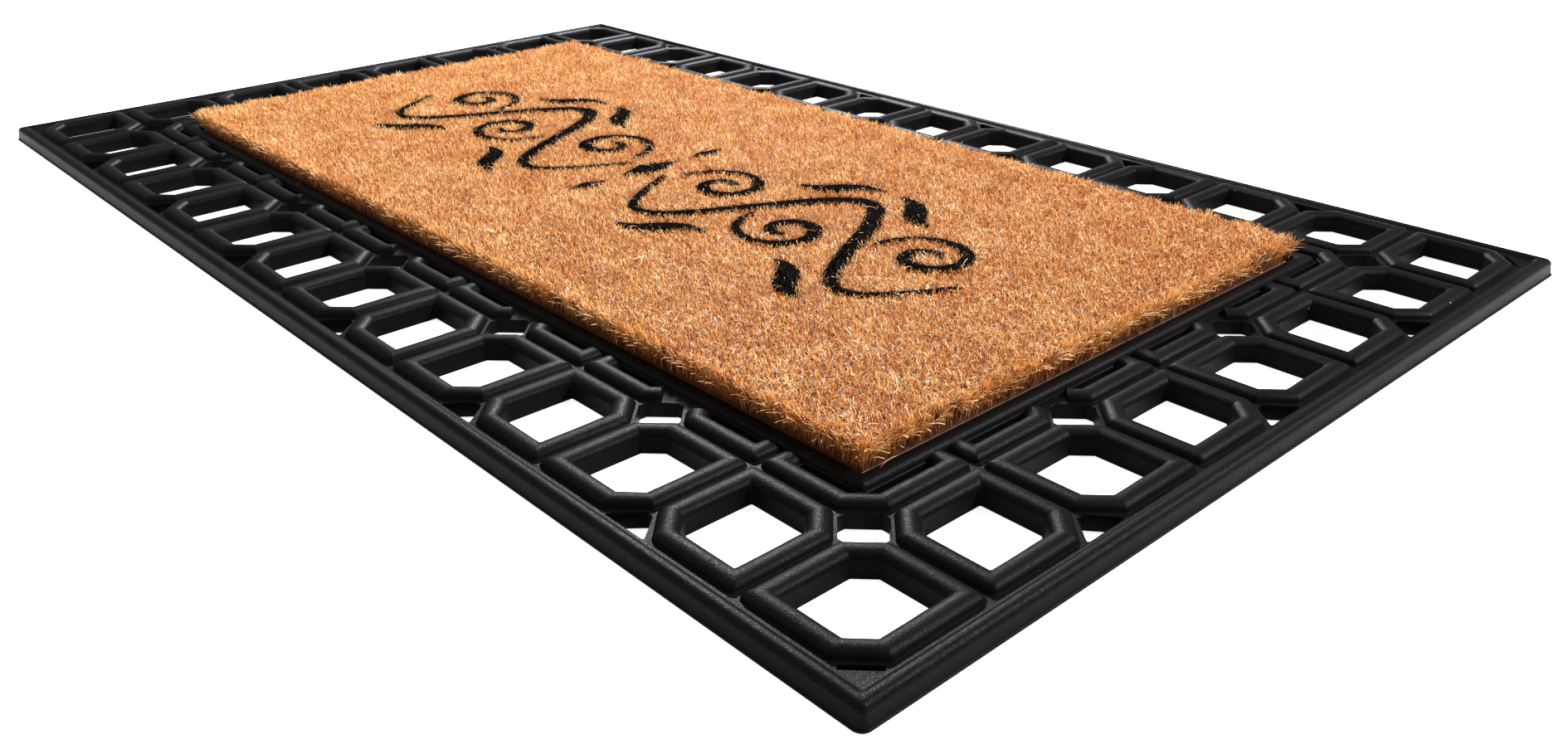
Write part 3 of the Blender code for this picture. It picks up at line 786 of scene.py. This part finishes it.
widths = FIBRE_WIDTH * random.uniform(0.7, 1.3, len(spots))
tones = np.clip(0.55 * random.beta(1.6, 1.6, len(spots)) + 0.25 * tuft_numbers + 0.1, 0, 1)
tones[random.random(len(spots)) < PALE_SHARE] = 1.0
roots = np.column_stack([spots, tips - lengths * PLANTED_SHARE])
strayed = spots + random.normal(0, COLOUR_STRAY, spots.shape)
coloured = np.array([stroke_at(x, y) or "" for x, y in strayed])


def plant(name, material, chosen):
    return plant_fibres(name, material, short_blades, roots[chosen], lengths[chosen], widths[chosen],
                        leans[chosen], tones[chosen])


tile = ((spots / half_size + 1) / 2 * (TILES_X, TILES_Y)).astype(int)
tile = np.clip(tile, 0, (TILES_X - 1, TILES_Y - 1))
for tile_x in range(TILES_X):
    for tile_y in range(TILES_Y):
        chosen = np.flatnonzero((tile[:, 0] == tile_x) & (tile[:, 1] == tile_y) & (coloured == ""))
        tuft_field = plant(f"coir_fibres_{tile_x + 1}_{tile_y + 1}", natural_coir, chosen)


# ---- Dyed ornament ----
# Scrolls of black-dyed coir, set stroke by stroke into the natural pile, each with its own bed of
# packed fibre under the sheared tips. Single fibres cross the strokes' edges both ways.

DYED_BED_DROP = 0.0012
for name in stroke_names:
    bm = bmesh.new()
    bm.from_mesh(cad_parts[name].data)
    bmesh.ops.remove_doubles(bm, verts=bm.verts, dist=LEVEL)
    for corner in bm.verts:
        if corner.co.z > PILE_TOP - LEVEL:
            corner.co.z -= DYED_BED_DROP
    label = name.replace("inlay_", "dyed_")
    packed = finish_piece(f"{label}_bed", bm, black_bed)
    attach(packed, "root")
    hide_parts(name)
    stroke = plant(label, black_coir, np.flatnonzero(coloured == name))


# ---- Cut edges of the pile ----
# Where the insert was cut to size its outer fibres stand free: long, curly, leaning out a little
# over the border rib, with gaps between the tufts that show the dark depth of the pile.

EDGE_SPACING = 0.00042
EDGE_LAYERS = 4
EDGE_BAND = 0.0028
EDGE_TUFT_LEAN = 0.0044
EDGE_SPREAD = 0.0012
EDGE_LEAN = (-0.0006, 0.0016)
EDGE_TUFT_PULL = 0.6
EDGE_LENGTH = (0.0080, 0.0150)
EDGE_TIP_DROP = 0.0006
EDGE_TIP_SPREAD = 0.0014
EDGE_TUFT_STEP = 0.0032
THIN_TUFTS = 0.22
THIN_TUFT_SHARE = 0.25
EDGE_INSET = 0.0004
EDGE_LAYER_DEPTH = 0.0008
long_blades = [make_blade(5, bend, twist, taper)
               for bend in (0.3, 0.9, 1.5) for twist in (0.4, 1.6) for taper in (0.4, 0.7)]
edge_spots, edge_leans = [], []
for axis, sign in ((0, 1), (0, -1), (1, 1), (1, -1)):
    run = np.arange(-half_size[1 - axis], half_size[1 - axis], EDGE_SPACING)
    for layer in range(EDGE_LAYERS):
        spot = np.zeros((len(run), 2))
        spot[:, 1 - axis] = run + random.uniform(-1, 1, len(run)) * EDGE_SPACING
        inset = EDGE_INSET + EDGE_LAYER_DEPTH * layer + random.uniform(0, EDGE_LAYER_DEPTH, len(run))
        spot[:, axis] = sign * (half_size[axis] - inset)
        lean = random.normal(0, EDGE_SPREAD, (len(run), 2))
        lean[:, axis] += sign * random.uniform(*EDGE_LEAN, len(run))
        edge_spots.append(spot)
        edge_leans.append(lean)
edge_spots, edge_leans = np.concatenate(edge_spots), np.concatenate(edge_leans)
edge_spots = np.clip(edge_spots, -half_size + 0.0003, half_size - 0.0003)
edge_centres, edge_numbers = tuft_centres(edge_spots)
edge_leans += (edge_centres - edge_spots) * EDGE_TUFT_PULL
outwards = np.where(np.abs(edge_spots) > half_size - EDGE_BAND, np.sign(edge_spots), 0)
edge_leans += outwards * ((edge_numbers - 0.45) * EDGE_TUFT_LEAN)[:, None]
kept = (edge_numbers > THIN_TUFTS) | (random.random(len(edge_spots)) < THIN_TUFT_SHARE)
edge_spots, edge_leans, edge_numbers = edge_spots[kept], edge_leans[kept], edge_numbers[kept]
count = len(edge_spots)
edge_tips = PILE_TOP - EDGE_TIP_DROP - EDGE_TIP_SPREAD * random.random(count)
edge_tips += (edge_numbers - 0.5) * EDGE_TUFT_STEP
edge_lengths = random.uniform(*EDGE_LENGTH, count)
edge_roots = np.column_stack([edge_spots, edge_tips - edge_lengths * 0.9])
edge_tones = np.clip(0.5 * random.random(count) + 0.4 * edge_numbers, 0, 1)
cut_edge = plant_fibres("coir_cut_edge", natural_coir, long_blades, edge_roots, edge_lengths,
                        FIBRE_WIDTH * random.uniform(0.6, 1.1, count), edge_leans, edge_tones, bare=0.3)


# ---- Loose fibres ----
# Long pale fibres that lie curled on top of the pile or stand out of it after shearing. A few have
# come away and lie on the border rib.

LOOSE_COUNT = 1500
LOOSE_LENGTH = (0.0040, 0.0090)
LOOSE_SINK = 0.0012
LOOSE_SINK_SPREAD = 0.0015
LOOSE_LEAN = 0.003
STRAY_COUNT = 5
STRAY_SINK = 0.0010
loose_blades = [make_blade(7, bend, twist, 0.6) for bend in (2.0, 2.8, 3.6) for twist in (0.3, 1.2)]
loose_spots = random.uniform(-1, 1, (LOOSE_COUNT, 2)) * (half_size - 0.002)
loose_lengths = random.uniform(*LOOSE_LENGTH, LOOSE_COUNT)
loose_feet = PILE_TOP - LOOSE_SINK - LOOSE_SINK_SPREAD * random.random(LOOSE_COUNT)
loose_roots = np.column_stack([loose_spots, loose_feet])
strays = random.integers(0, LOOSE_COUNT, STRAY_COUNT)
loose_roots[strays, 0] = random.uniform(-1, 1, STRAY_COUNT) * half_size[0]
loose_roots[strays, 1] = random.choice([-1, 1], STRAY_COUNT) * (half_size[1] + BORDER_WIDTH / 2)
loose_roots[strays, 2] = WEB_HEIGHT + RIB_RISE - STRAY_SINK
loose_roots[0] = (half_size[0] + BORDER_WIDTH / 2, -half_size[1] + 0.0054, WEB_HEIGHT + RIB_RISE - STRAY_SINK)
loose = plant_fibres("coir_loose_fibres", natural_coir, loose_blades, loose_roots, loose_lengths,
                     FIBRE_WIDTH * random.uniform(0.5, 0.8, LOOSE_COUNT),
                     random.normal(0, LOOSE_LEAN, (LOOSE_COUNT, 2)), random.uniform(0.7, 1.0, LOOSE_COUNT))
